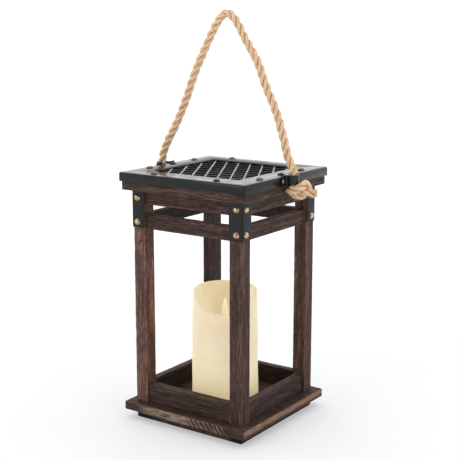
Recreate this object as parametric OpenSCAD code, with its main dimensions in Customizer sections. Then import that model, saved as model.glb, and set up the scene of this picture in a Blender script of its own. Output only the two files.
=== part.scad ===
// Square wooden candle lantern with a sheet-metal cap, a rope handle and a battery candle.
// Millimetres, +Z up. The origin is the middle of the plinth's underside; the front is -Y.
// Everything that repeats round the lantern is drawn once at the front or at the
// front-left corner and turned by quarter turns.

/* [Base] */
// Width of the black plinth under the base board
plinth_w = 146; // [136:1:150]
// Height of the plinth
plinth_h = 9.7; // [9:0.1:16]
// Width of the base board
base_w = 167; // [158:1:180]
// Thickness of the base board
base_t = 10.3; // [9:0.1:16]

/* [Frame] */
// Width across the outer faces of the posts
frame_w = 146.5; // [143:0.5:148]
// Side of a post's square section
post_s = 16; // [14:0.5:16]
// Height of the posts above the base board
post_h = 247; // [235:0.5:300]
// Thickness of the rails between the posts
rail_t = 9; // [8:0.5:10]
// How far the rails sit back from the posts' outer faces
rail_inset = 2.75; // [1:0.25:3]
// Height of the rails that make the tray round the candle
tray_h = 22.5; // [20:0.5:30]
// Height of the mid rails
mid_rail_h = 16; // [14:0.5:18]
// Height of the top rails
top_rail_h = 16; // [14:0.5:18]
// Open gap between the mid rails and the top rails
rail_gap = 11.5; // [6:0.5:14]

/* [Top frame and cap] */
// Width of the mitred wooden frame under the cap
top_w = 164; // [162:0.5:165]
// Width of the square hole in the wooden frame
top_hole = 120; // [118:1:122]
// Thickness of the wooden frame
top_t = 18.8; // [16:0.2:22]
// Width of the sheet-metal cap
cap_w = 169.2; // [168:0.1:172]
// Thickness of the cap's sheet
sheet_t = 1.2; // [1:0.1:1.5]
// Height of the cap's turned-down flange
flange_h = 10; // [8:0.5:12]
// Width of the square vent in the cap
vent_w = 117; // [110:1:120]
// Width of one diamond of the vent's expanded metal
diamond_w = 16.7; // [12:0.1:22]
// Length of one diamond
diamond_l = 28.8; // [26:0.1:44]
// Width of the expanded metal's strands
strand_w = 1.8; // [1.4:0.1:2.4]
// Thickness of the expanded metal
mesh_t = 1.5; // [1.2:0.1:1.8]

/* [Corner brackets] */
// Height of a corner bracket
bracket_h = 41; // [34:1:41]
// Width of each of its two legs
bracket_leg = 16; // [13:0.5:16]
// Thickness of its sheet
bracket_t = 1.2; // [1:0.1:1.5]

/* [Rope] */
// Diameter of the rope
rope_d = 9.5; // [8:0.5:9.5]
// How far the rope hangs out from the cap's side, to its centre
rope_out = 4.9; // [4.9:0.1:6]
// Half the length of a rope strap's two ears together
strap_reach = 20; // [18:1:24]

/* [Candle] */
// Diameter of the candle
candle_d = 76.2; // [70:0.1:78]
// Height of the candle's back rim
candle_h = 130; // [120:1:135]
// Direction that the melted lip dips towards, anticlockwise from the front
candle_turn = 35; // [0:5:355]

/* [Hidden] */
$fn = 48;
eps = 0.01;
hole_play = 0.05;
hole_deeper = 0.5;

// Levels
floor_z = plinth_h + base_t;
post_top = floor_z + post_h;
mid_z = post_top - top_rail_h - rail_gap - mid_rail_h;
top_rail_z = post_top - top_rail_h;
cap_under = post_top + top_t;
cap_top = cap_under + sheet_t;
mesh_z = cap_under - mesh_t;

// Distances from the middle
face = frame_w / 2;
post_in = face - post_s;
post_mid = face - post_s / 2;
rail_out = face - rail_inset;
rail_mid = rail_out - rail_t / 2;
bracket_out = face + bracket_t;
cap_out = cap_w / 2;
rebate = vent_w / 2 + 7.5;
// The expanded sheet is cut out of a longer one, so its diamonds are off centre.
diamond_shift = -3.9;

// Fasteners
base_screw_r = 1.75;
base_screw_l = 35;
frame_screw_r = 1.5;
frame_screw_l = 27;
frame_screw_at = [post_mid - 3.75, post_mid + 3.75];
plinth_screw_l = 18;
plinth_screw_at = 50;
tack_r = 0.9;
tack_head = [3.8, 2.4];
tack_l = 6.5;
tack_in = face - 6.5;
tack_up = [6.3, 33.6];
bracket_z = post_top - 1 - bracket_h;
rivet_r = 1.5;
rivet_head = [4.4, 2.3];
rivet_l = 12;
rivet_at = [42, 74.5];
strap_rivet_r = 1.2;
strap_rivet_head = [2.6, 1.5];
strap_rivet_l = 10;
strap_rivet_y = 13;
dowel_r = 2;
dowel_in_post = 5;
dowel_in_rail = 7;
dowel_z = [floor_z + 12, mid_z + 8.5, top_rail_z + 3.5];

// Rope: the handle swings about a line just above the straps.
rope_r = rope_d / 2;
rope_x = cap_out + rope_out;
strap_z = cap_top - flange_h;
swing_z = cap_top + 5;
swing_gap = 0.3;
strap_in = rope_r + 1.1;
strap_out = strap_in + sheet_t;
knot_r = 10.5;
knot_at = [rope_x + 5.5, 2, strap_z - knot_r - 0.3];
lobe_r = 6.5;
lobe_at = [rope_x + 12.5, 7, strap_z - 2];
tail_end = [rope_x + 22, 10, strap_z - 9];
// Places down the middle of the handle, as [x, height above the swing line]
handle_route = [
    [-rope_x, 0], [-87, 10], [-81, 22], [-67, 45], [-54, 71], [-41, 102], [-25, 132],
    [-14, 151], [-5, 163], [4, 167], [12, 162], [19, 153], [25, 143], [35, 128], [44, 114],
    [54, 90], [67, 64], [76, 39], [83, 15], [88, 6], [rope_x, 0]];

// Candle
candle_r = candle_d / 2;
wax_wall = 4.5;
wax_cavity_h = 84;
rim_r = 7;
scoop_r = 41.5;
scoop_at = [0, -10, candle_h + 5];
wick_hole_r = 4.3;
core_r = candle_r - wax_wall - 0.4;
core_z = 1.5;
core_top = 60;
lid_t = 2.5;
cover_r = 24;
cover_play = 0.3;
cover_t = 2.7;
tab_r = 26.3;
tab_z = 3;
tab_turn = 35;
battery_x = 8.5;
battery_r = 7.1;
battery_h = 49;
battery_z = 4.6;
nub = [2.7, 1.3];
core_screw_y = 24;
board_t = 1.6;
switch_y = -29.6;
switch_size = [4, 3, 4.4];
switch_travel = 3;

// ---- Shared shapes ----

// Turns a piece drawn at the front, or at the front-left corner, to side or corner i.
module quarter(i) {
    rotate([0, 0, 90 * i]) children();
}

// A square bar or board, with its upright edges rounded.
module soft_block(w, d, h, r) {
    linear_extrude(h) {
        square([w - 2 * r, d], center = true);
        square([w, d - 2 * r], center = true);
        for (x = [-1, 1], y = [-1, 1])
            translate([x * (w / 2 - r), y * (d / 2 - r)]) circle(r);
    }
}

// A domed head, size [radius, height], flat side on z = 0.
module dome(size) {
    ball_r = (size[0] * size[0] + size[1] * size[1]) / (2 * size[1]);
    intersection() {
        translate([0, 0, size[1] - ball_r]) sphere(ball_r, $fn = 64);
        cylinder(r = size[0] + 1, h = size[1] + 1);
    }
}

// A domed rivet, head up from z = 0 and shank down.
module rivet(head, r, l) {
    dome(head);
    translate([0, 0, -l]) cylinder(r = r, h = l + eps);
}

// The hole that a rivet's or tack's shank fills, through whatever it is cut from.
module shank_hole(r, l) {
    translate([0, 0, -l - hole_deeper]) cylinder(r = r + hole_play, h = l + 2 * hole_deeper);
}

// A countersunk screw, flat head up at z = 0 and shank down.
module flat_screw(r, l) {
    translate([0, 0, -r]) cylinder(r1 = r, r2 = 2 * r, h = r);
    translate([0, 0, -l]) cylinder(r = r, h = l - r + eps);
}

// The hole that a flat_screw fills.
module flat_screw_hole(r, l) {
    translate([0, 0, -r - hole_play])
        cylinder(r1 = r + hole_play, r2 = 2 * r + 2 * hole_play, h = r + 2 * hole_play);
    translate([0, 0, -l - hole_deeper]) cylinder(r = r + hole_play, h = l + hole_deeper);
}

// The direction of a path at point i.
function tangent(path, i) =
    let (d = path[min(i + 1, len(path) - 1)] - path[max(i - 1, 0)]) d / norm(d);

// The corners of a ring round a path, square to it.
function ring(centre, along, up, r, sides) =
    let (u = cross(up, along) / norm(cross(up, along)), v = cross(along, u))
    [for (k = [0:sides - 1]) centre + r * (cos(360 * k / sides) * u + sin(360 * k / sides) * v)];

// A round tube along a path, with a radius at each point.
module tube(path, radii, sides, up) {
    last = len(path) - 1;
    points = [for (i = [0:last]) each ring(path[i], tangent(path, i), up, radii[i], sides)];
    wall = [for (i = [0:last - 1], k = [0:sides - 1])
        let (a = i * sides + k, b = i * sides + (k + 1) % sides)
        each [[a, a + sides, b], [b, a + sides, b + sides]]];
    start = [for (k = [0:sides - 1]) k];
    end = [for (k = [sides - 1:-1:0]) last * sides + k];
    polyhedron(points, concat(wall, [start], [end]), convexity = 6);
}

// ---- Base ----

module plinth() {
    color("#26221f") difference() {
        soft_block(plinth_w, plinth_w, plinth_h, 1.5);
        plinth_screw_places() flat_screw_hole(base_screw_r, plinth_screw_l);
    }
}

// Screws through the plinth point up.
module plinth_screw_places() {
    for (i = [0:3])
        quarter(i) translate([-plinth_screw_at, -plinth_screw_at, 0]) mirror([0, 0, 1]) children();
}

module plinth_screws() {
    color("#8c8c88") plinth_screw_places() flat_screw(base_screw_r, plinth_screw_l);
}

module base_board() {
    color("#5b4638") difference() {
        translate([0, 0, plinth_h]) soft_block(base_w, base_w, base_t, 2);
        plinth_screw_places() flat_screw_hole(base_screw_r, plinth_screw_l);
        base_screw_places() flat_screw_hole(base_screw_r, base_screw_l);
    }
}

// Screws through the base board point up into the posts.
module base_screw_places() {
    for (i = [0:3])
        quarter(i) translate([-post_mid, -post_mid, plinth_h]) mirror([0, 0, 1]) children();
}

module base_screws() {
    color("#8c8c88") base_screw_places() flat_screw(base_screw_r, base_screw_l);
}

// ---- Posts and rails ----

// The post at corner i, bored for its screws, tacks and dowels.
module post(i) {
    color("#4d3a31") quarter(i) difference() {
        translate([-post_mid, -post_mid, floor_z]) soft_block(post_s, post_s, post_h, 0.8);
        base_screw_places() flat_screw_hole(base_screw_r, base_screw_l);
        frame_screw_places() flat_screw_hole(frame_screw_r, frame_screw_l);
        corner_tack_places() shank_hole(tack_r, tack_l);
        rail_dowel_places() dowel(hole_play);
    }
}

// A dowel pin, or with play, the hole for it.
module dowel(play) {
    translate([0, 0, -dowel_in_post - play])
        cylinder(r = dowel_r + play, h = dowel_in_post + dowel_in_rail + 2 * play);
}

// Both ends of every rail: z runs from the post into the rail.
module rail_dowel_places() {
    for (i = [0:3], z = dowel_z, side = [0, 1])
        quarter(i) mirror([side, 0, 0]) translate([-post_in, -rail_mid, z])
            rotate([0, 90, 0]) children();
}

module rail_dowels() {
    color("#c9ab7c") rail_dowel_places() dowel(0);
}

// A rail between two posts on side i.
module rail(i, z, h) {
    color("#4a372e") difference() {
        quarter(i) translate([-post_in, -rail_out, z]) cube([2 * post_in, rail_t, h]);
        rail_dowel_places() dowel(hole_play);
    }
}

module tray_rail(i) {
    rail(i, floor_z, tray_h);
}

module mid_rail(i) {
    rail(i, mid_z, mid_rail_h);
}

module top_rail(i) {
    rail(i, top_rail_z, top_rail_h);
}

// ---- Top frame, cap and vent ----

// One mitred side of the wooden frame, rebated for the vent mesh.
module top_frame(i) {
    half = top_w / 2;
    hole = top_hole / 2;
    color("#5a4134") difference() {
        quarter(i) translate([0, 0, post_top]) linear_extrude(top_t)
            polygon([[-half, -half], [half, -half], [hole, -hole], [-hole, -hole]]);
        translate([0, 0, mesh_z + top_t / 2]) cube([2 * rebate, 2 * rebate, top_t], center = true);
        frame_screw_places() flat_screw_hole(frame_screw_r, frame_screw_l);
        rivet_places() shank_hole(rivet_r, rivet_l);
        cap_screw_places() shank_hole(rivet_r, rivet_l);
        strap_rivet_places() shank_hole(strap_rivet_r, strap_rivet_l);
    }
}

// Two screws down through the wooden frame into each post.
module frame_screw_places() {
    for (i = [0:3], swap = [0, 1])
        quarter(i) translate([-frame_screw_at[swap], -frame_screw_at[1 - swap], cap_under]) children();
}

module top_frame_screws() {
    color("#8c8c88") frame_screw_places() flat_screw(frame_screw_r, frame_screw_l);
}

module cap() {
    color("#2b2e2e") difference() {
        translate([0, 0, strap_z]) soft_block(cap_w, cap_w, flange_h, 1.5);
        translate([0, 0, strap_z - 1])
            soft_block(cap_w - 2 * sheet_t, cap_w - 2 * sheet_t, flange_h - sheet_t + 1, 0.3);
        translate([0, 0, cap_top]) cube([vent_w, vent_w, 4 * sheet_t], center = true);
        rivet_places() shank_hole(rivet_r, rivet_l);
        cap_screw_places() shank_hole(rivet_r, rivet_l);
        strap_rivet_places() shank_hole(strap_rivet_r, strap_rivet_l);
    }
}

module vent_mesh() {
    side = 2 * rebate - 1;
    lean = atan(diamond_w / diamond_l);
    reach = ceil(side * (1 + diamond_w / diamond_l) / 2 / diamond_w);
    color("#3b3432") translate([0, 0, mesh_z]) linear_extrude(mesh_t) intersection() {
        square(side, center = true);
        for (k = [-reach:reach], way = [-1, 1])
            translate([k * diamond_w + diamond_shift, 0]) rotate(way * lean)
                square([strand_w, 3 * side], center = true);
    }
}

// Two domed rivets on each side of the cap.
module rivet_places() {
    for (i = [0:3], x = [-1, 1])
        quarter(i) translate([x * rivet_at[0], -rivet_at[1], cap_top]) children();
}

module cap_rivets() {
    color("#a8824f") rivet_places() rivet(rivet_head, rivet_r, rivet_l);
}

// One black screw beside each rope strap.
module cap_screw_places() {
    for (i = [1, 3])
        quarter(i) translate([0, -rivet_at[1], cap_top]) children();
}

module cap_screws() {
    color("#1b1b1c") cap_screw_places() rivet(rivet_head, rivet_r, rivet_l);
}

// ---- Corner brackets ----

module bracket(i) {
    outer = bracket_out;
    color("#2b2e2e") quarter(i) difference() {
        translate([-outer, -outer, bracket_z]) linear_extrude(bracket_h) difference() {
            union() {
                translate([bracket_t, 0]) square([bracket_leg, bracket_t]);
                translate([0, bracket_t]) square([bracket_t, bracket_leg]);
                translate([bracket_t, bracket_t]) circle(bracket_t);
            }
            translate([bracket_t, bracket_t]) square(bracket_leg + 1);
        }
        corner_tack_places() shank_hole(tack_r, tack_l);
    }
}

// Two tacks through each leg of the front-left bracket, heads outward.
module corner_tack_places() {
    for (up = tack_up) {
        translate([-tack_in, -bracket_out, bracket_z + up]) rotate([90, 0, 0]) children();
        translate([-bracket_out, -tack_in, bracket_z + up]) rotate([0, -90, 0]) children();
    }
}

module bracket_tacks() {
    color("#b98f55") for (i = [0:3])
        quarter(i) corner_tack_places() rivet(tack_head, tack_r, tack_l);
}

// ---- Rope straps and rope ----

// The strap on the right side: a saddle round the rope with an ear at each end.
module strap() {
    translate([0, 0, strap_z]) linear_extrude(flange_h) difference() {
        union() {
            translate([cap_out, -strap_reach]) square([sheet_t, 2 * strap_reach]);
            translate([cap_out, -strap_out]) square([rope_out, 2 * strap_out]);
            translate([rope_x, 0]) circle(strap_out);
        }
        translate([cap_out - 3, -strap_in]) square([rope_out + 3, 2 * strap_in]);
        translate([rope_x, 0]) circle(strap_in);
    }
}

module rope_strap(i) {
    color("#232526") difference() {
        quarter(i) strap();
        strap_rivet_places() shank_hole(strap_rivet_r, strap_rivet_l);
    }
}

module strap_rivet_places() {
    for (i = [0, 2], y = [-1, 1])
        quarter(i) translate([cap_out + sheet_t, y * strap_rivet_y, strap_z + flange_h / 2])
            rotate([0, 90, 0]) children();
}

module strap_rivets() {
    color("#3a3b3c") strap_rivet_places() rivet(strap_rivet_head, strap_rivet_r, strap_rivet_l);
}

module rope_handle() {
    middle = [for (p = handle_route) [p[0], 0, swing_z + p[1]]];
    tips = [80, 60, 30];
    start = [for (a = tips) middle[0] - [0, 0, rope_r * sin(a)]];
    end = [for (a = [30, 60, 80]) middle[len(middle) - 1] - [0, 0, rope_r * sin(a)]];
    tip_r = [for (a = tips) rope_r * cos(a)];
    body_r = [for (p = middle) rope_r];
    color("#c9a06a") tube(
        concat(start, middle, end),
        concat(tip_r, body_r, [for (k = [2:-1:0]) tip_r[k]]),
        12, [0, 1, 0]);
}

// The rope's own stretch through a strap, from the knot to the swing line.
module rope_end(i) {
    color("#c9a06a") quarter(i) translate([rope_x, 0, knot_at[2]])
        cylinder(r = rope_r, h = swing_z - rope_r - swing_gap - knot_at[2]);
}

// The outer shape of a stopper knot, with its short tail.
module rope_knot(i) {
    tail = tail_end - knot_at;
    color("#cda673") quarter(i) {
        translate(knot_at) sphere(knot_r);
        translate(lobe_at) sphere(lobe_r);
        translate(knot_at) rotate([0, acos(tail[2] / norm(tail)), atan2(tail[1], tail[0])])
            cylinder(r = rope_r - 0.1, h = norm(tail));
    }
}

// ---- Candle: every piece is drawn from its own foot, which stands on the base board. ----

module stood() {
    translate([0, 0, floor_z]) children();
}

module candle_wax() {
    color("#eadfba") stood() rotate(candle_turn) difference() {
        rotate_extrude($fn = 96) {
            square([candle_r - 2, 10]);
            translate([0, 2]) square([candle_r, candle_h - rim_r - 2]);
            translate([candle_r - 2, 2]) intersection() {
                circle(2);
                translate([0, -3]) square([3, 6]);
            }
            square([candle_r - rim_r, candle_h]);
            translate([candle_r - rim_r, candle_h - rim_r]) intersection() {
                circle(rim_r);
                square([rim_r + 1, rim_r + 1]);
            }
        }
        translate([0, 0, -1]) cylinder(r = candle_r - wax_wall, h = wax_cavity_h + 1, $fn = 96);
        translate(scoop_at) sphere(scoop_r, $fn = 96);
        cylinder(r = wick_hole_r, h = candle_h);
    }
}

module candle_core() {
    color("#e9e7df") stood() difference() {
        translate([0, 0, core_z]) cylinder(r = core_r, h = core_top - core_z);
        translate([0, 0, -1]) cylinder(r = cover_r + cover_play, h = battery_z + 1);
        translate([0, 0, tab_z - 0.1]) cylinder(r = tab_r + cover_play, h = battery_z - tab_z + 0.1);
        for (a = [0, 180])
            rotate(a + tab_turn) translate([0, -4, -1]) cube([tab_r + cover_play, 8, tab_z + 2]);
        for (x = [-1, 1])
            translate([x * battery_x, 0, 0]) cylinder(r = battery_r + 0.3, h = core_top + 1);
        for (y = [-1, 1])
            translate([0, y * core_screw_y, core_top - 10]) cylinder(r = 1.2, h = 11);
        translate([-switch_size[0] / 2 - 1.7, switch_y - switch_size[1] / 2 - 0.2, 0])
            cube([switch_size[0] + 3.4, switch_size[1] + 0.4, 6]);
    }
}

module core_lid() {
    color("#dedcd3") stood() difference() {
        translate([0, 0, core_top]) cylinder(r = core_r, h = lid_t);
        for (y = [-1, 1])
            translate([0, y * core_screw_y, core_top - 1]) cylinder(r = 1.2, h = lid_t + 2);
    }
}

module core_screws() {
    color("#8c8c88") stood() for (y = [-1, 1])
        translate([0, y * core_screw_y, core_top + lid_t]) rivet([2.6, 1.4], 1.15, 10);
}

// A quarter-turn cover: two tabs hold it behind the core's lip.
module battery_cover() {
    color("#e2e0d8") stood() difference() {
        union() {
            translate([0, 0, core_z]) cylinder(r = cover_r, h = cover_t);
            for (a = [0, 180])
                rotate(a) translate([0, -3, tab_z]) cube([tab_r - 0.3, 6, core_z + cover_t - tab_z]);
        }
        translate([-9, -1.1, core_z - 1]) cube([18, 2.2, 2]);
    }
}

module cover_contact() {
    color("#c8a24a") stood() translate([0, 0, core_z + cover_t]) cylinder(r = 16, h = 0.25);
}

module battery(x, up) {
    color("#4f6f86") stood() translate([x, 0, battery_z + (up ? 0 : nub[1])]) {
        cylinder(r = battery_r, h = battery_h);
        translate([0, 0, up ? battery_h : -nub[1]]) cylinder(r = nub[0], h = nub[1]);
    }
}

// Two small helical springs that press on the batteries from the lid.
module contact_springs() {
    wire_r = 0.4;
    coil_r = 3.6;
    turns = 3;
    steps = 12;
    low = battery_z + battery_h + nub[1] + wire_r;
    rise = core_top - low - wire_r;
    color("#b9babc") stood() for (x = [-battery_x, battery_x]) {
        path = [for (k = [0:turns * steps])
            let (a = 360 * k / steps, z = low + rise * k / (turns * steps))
            [x + coil_r * cos(a), coil_r * sin(a), z]];
        tube(path, [for (p = path) wire_r], 6, [0, 0, 1]);
    }
}

module circuit_board() {
    color("#2f6b3f") stood() translate([-12, -8, core_top + lid_t]) cube([24, 16, board_t]);
}

// A 5 mm lamp on two long leads.
module led() {
    low = core_top + lid_t + board_t;
    color("#f4efe0") stood() {
        translate([0, 0, 86]) cylinder(r = 2.5, h = 6);
        translate([0, 0, 92]) sphere(2.5);
        for (x = [-1.27, 1.27])
            translate([x, 0, low]) cylinder(r = 0.3, h = 86.5 - low, $fn = 16);
    }
}

// The clear shell over the lamp, shaped like a small flame.
module flame_tip() {
    color("#f7f2e2") stood() rotate_extrude()
        polygon([
            [0, 118.5], [0.9, 116], [2.2, 111], [3.6, 105], [4.3, 100], [4.05, 96], [4, 91.5], [4, 85],
            [2.8, 85], [2.8, 94], [1.8, 96.5], [0, 97.5]]);
}

module power_switch() {
    color("#d8d6cd") stood()
        translate([-(switch_travel + switch_size[0]) / 2, switch_y - switch_size[1] / 2, core_z - 0.7])
            cube(switch_size);
}

plinth();
base_board();
post(0);  // post_front_left
post(1);  // post_front_right
post(2);  // post_rear_right
post(3);  // post_rear_left
tray_rail(0);  // tray_rail_front
tray_rail(1);  // tray_rail_right
tray_rail(2);  // tray_rail_rear
tray_rail(3);  // tray_rail_left
mid_rail(0);  // mid_rail_front
mid_rail(1);  // mid_rail_right
mid_rail(2);  // mid_rail_rear
mid_rail(3);  // mid_rail_left
top_rail(0);  // top_rail_front
top_rail(1);  // top_rail_right
top_rail(2);  // top_rail_rear
top_rail(3);  // top_rail_left
top_frame(0);  // top_frame_front
top_frame(1);  // top_frame_right
top_frame(2);  // top_frame_rear
top_frame(3);  // top_frame_left
cap();
vent_mesh();
cap_rivets();
cap_screws();
bracket(0);  // bracket_front_left
bracket(1);  // bracket_front_right
bracket(2);  // bracket_rear_right
bracket(3);  // bracket_rear_left
bracket_tacks();
rope_strap(2);  // rope_strap_left
rope_strap(0);  // rope_strap_right
strap_rivets();
plinth_screws();
base_screws();
top_frame_screws();
rail_dowels();
rope_handle();
rope_end(2);  // rope_end_left
rope_end(0);  // rope_end_right
rope_knot(2);  // rope_knot_left
rope_knot(0);  // rope_knot_right
candle_wax();
candle_core();
core_lid();
core_screws();
battery_cover();
cover_contact();
battery(-battery_x, true);  // battery_a
battery(battery_x, false);  // battery_b
contact_springs();
circuit_board();
led();
flame_tip();
power_switch();
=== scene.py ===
"""The looks of a square wooden candle lantern with a black metal cap and a rope handle."""
import math
import random

import bmesh
import bpy
import numpy as np
from mathutils import Matrix, Vector, noise


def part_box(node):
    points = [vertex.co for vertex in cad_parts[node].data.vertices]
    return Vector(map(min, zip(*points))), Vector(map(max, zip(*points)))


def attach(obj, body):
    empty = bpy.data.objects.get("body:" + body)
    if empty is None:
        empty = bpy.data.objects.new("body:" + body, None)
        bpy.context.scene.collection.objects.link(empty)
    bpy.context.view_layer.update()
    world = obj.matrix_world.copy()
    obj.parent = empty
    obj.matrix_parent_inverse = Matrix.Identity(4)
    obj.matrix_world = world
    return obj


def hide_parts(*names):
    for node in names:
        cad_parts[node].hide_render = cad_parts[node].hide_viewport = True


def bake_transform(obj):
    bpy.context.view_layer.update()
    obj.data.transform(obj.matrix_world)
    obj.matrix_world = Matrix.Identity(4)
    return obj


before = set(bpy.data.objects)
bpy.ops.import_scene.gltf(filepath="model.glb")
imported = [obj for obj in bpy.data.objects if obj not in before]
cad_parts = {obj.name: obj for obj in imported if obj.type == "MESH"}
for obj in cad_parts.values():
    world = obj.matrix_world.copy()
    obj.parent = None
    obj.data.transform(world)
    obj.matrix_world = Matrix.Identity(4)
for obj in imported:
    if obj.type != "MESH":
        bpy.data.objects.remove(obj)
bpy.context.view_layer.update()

MM = 0.001
SIDES = ("front", "right", "rear", "left")
CORNERS = ("front_left", "front_right", "rear_right", "rear_left")

# The camera, in metres and degrees.
CAMERA_AT = (0.6751, -0.9553, 0.4572)
CAMERA_AZIMUTH = 34.97
CAMERA_DOWN = 11.6
CAMERA_LENS = 82.1

# The rope's route, in metres: the handle from strap to strap at y = 0, as x and the
# height above the line it swings about.
SWING_Z = 0.292
HANDLE_ROUTE = [
    (-0.0895, 0), (-0.087, 0.010), (-0.081, 0.022), (-0.067, 0.045), (-0.054, 0.071),
    (-0.041, 0.102), (-0.025, 0.132), (-0.014, 0.151), (-0.005, 0.163), (0.004, 0.167),
    (0.012, 0.162), (0.019, 0.153), (0.025, 0.143), (0.035, 0.128), (0.044, 0.114),
    (0.054, 0.090), (0.067, 0.064), (0.076, 0.039), (0.083, 0.015), (0.088, 0.006),
    (0.0895, 0)]
# The right-hand knot, from inside the strap to the tail's end.
KNOT_ROUTE = [
    (0.0895, 0, 0.284), (0.0895, 0, 0.2775), (0.0905, -0.0005, 0.273),
    (0.0925, -0.001, 0.2685), (0.0955, 0, 0.266), (0.1005, 0.005, 0.2675),
    (0.103, 0.009, 0.2725), (0.1025, 0.0065, 0.2785), (0.1005, -0.0015, 0.2755),
    (0.0955, -0.0055, 0.273), (0.0895, -0.0055, 0.272), (0.0887, 0.0005, 0.270),
    (0.090, 0.006, 0.2685), (0.0955, 0.007, 0.269), (0.103, 0.0045, 0.270),
    (0.1085, 0.007, 0.2695), (0.113, 0.009, 0.269)]
ROPE_LAY = 0.031

# Sizes of the metalwork, in millimetres.
SHEET = 1.2
VENT_HALF = 58.5
ROPE_X = 89.5
EAR_TRIM = 3.5
EAR_RAISE = 1.5
CAP_FIXING_OUT = 74.5
CAP_RIVET_ALONG = 42
TACK_OUT = 66.75
TACK_HEIGHTS = (6.3, 33.6)
STRAP_RIVET_ALONG = 13
# Each stud's head radius, head height, shank radius and shank length.
CAP_STUD = (4.4, 2.3, 1.5, 12)
TACK = (3.8, 2.4, 0.9, 6.5)
STRAP_RIVET = (2.4, 1.5, 1.2, 10)
# The vent lattice's diamonds and the strands' tilt in degrees.
DIAMOND_WIDE = 16.7
DIAMOND_TALL = 28.8
LATTICE_SHIFT = -3.9
STRAND_TILT = 24

# Sizes of the candle, in millimetres. The dip is how far its lip drops in front.
CANDLE_TURN = math.radians(35)
CANDLE_R = 38.1
CANDLE_H = 130.0
CANDLE_DIP = 25
CAVITY = (33.6, 84.0)
WICK_R = 4.3
LIP = 4.5
BOWL_Z = 94.5


# ---- Camera ----

def make_camera():
    data = bpy.data.cameras.new("camera")
    data.lens = CAMERA_LENS
    data.clip_end = 30
    camera = bpy.data.objects.new("camera", data)
    camera.location = CAMERA_AT
    camera.rotation_euler = (math.radians(90 - CAMERA_DOWN), 0, math.radians(CAMERA_AZIMUTH))
    bpy.context.scene.collection.objects.link(camera)
    bpy.context.scene.camera = camera


# ---- Node helpers ----

class Shader:
    """One material's nodes, with a short call for each kind used here."""

    def __init__(self, name):
        self.material = bpy.data.materials.new(name)
        self.material.use_nodes = True
        self.tree = self.material.node_tree
        self.surface = self.tree.nodes["Principled BSDF"]

    def add(self, kind, inputs=(), **settings):
        node = self.tree.nodes.new(kind)
        for key, value in settings.items():
            setattr(node, key, value)
        for key, value in dict(inputs).items():
            self.feed(node.inputs[key], value)
        return node

    def feed(self, socket, value):
        if isinstance(value, bpy.types.NodeSocket):
            self.tree.links.new(value, socket)
        else:
            socket.default_value = value

    def set(self, **sockets):
        """Sets the surface's own sockets; an underscore in a name stands for a space."""
        for key, value in sockets.items():
            self.feed(self.surface.inputs[key.replace("_", " ")], value)

    def attribute(self, name):
        return self.add("ShaderNodeAttribute", attribute_name=name)

    def place(self):
        """The piece's own coordinates, in millimetres."""
        source = self.add("ShaderNodeTexCoord").outputs["Object"]
        return self.stretch(source, (1000, 1000, 1000))

    def stretch(self, vector, scale):
        node = self.add("ShaderNodeMapping", {"Vector": vector, "Scale": scale})
        return node.outputs["Vector"]

    def noise(self, vector, scale, detail=4.0, rough=0.55, bend=0.0):
        values = {"Vector": vector, "Scale": scale, "Detail": detail, "Roughness": rough,
                  "Distortion": bend}
        return self.add("ShaderNodeTexNoise", values).outputs["Fac"]

    def math(self, operation, first, second):
        return self.add("ShaderNodeMath", {0: first, 1: second}, operation=operation).outputs[0]

    def times(self, *values):
        product = values[0]
        for value in values[1:]:
            product = self.math("MULTIPLY", product, value)
        return product

    def split(self, vector):
        """A vector's X, Y and Z."""
        return self.add("ShaderNodeSeparateXYZ", {"Vector": vector}).outputs

    def between(self, value, low, high, to_low=0.0, to_high=1.0):
        """value from low to high becomes to_low to to_high, smoothly and clamped."""
        values = {"Value": value, "From Min": low, "From Max": high,
                  "To Min": to_low, "To Max": to_high}
        node = self.add("ShaderNodeMapRange", values, interpolation_type="SMOOTHSTEP")
        return node.outputs["Result"]

    def mix(self, factor, first, second, blend="MIX"):
        node = self.add("ShaderNodeMix", data_type="RGBA", blend_type=blend)
        self.feed(node.inputs[0], factor)
        for socket, value in ((node.inputs[6], first), (node.inputs[7], second)):
            self.feed(socket, value if isinstance(value, bpy.types.NodeSocket) else colour(value))
        return node.outputs[2]

    def bump(self, height, distance, strength=1.0):
        values = {"Height": height, "Distance": distance * MM, "Strength": strength}
        self.set(Normal=self.add("ShaderNodeBump", values).outputs["Normal"])


def colour(code):
    """A colour for a socket from its screen value, such as 4d3a31."""
    screen = [int(code[k:k + 2], 16) / 255 for k in (0, 2, 4)]
    return [c / 12.92 if c < 0.04045 else ((c + 0.055) / 1.055) ** 2.4 for c in screen] + [1.0]


# ---- Materials ----

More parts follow.
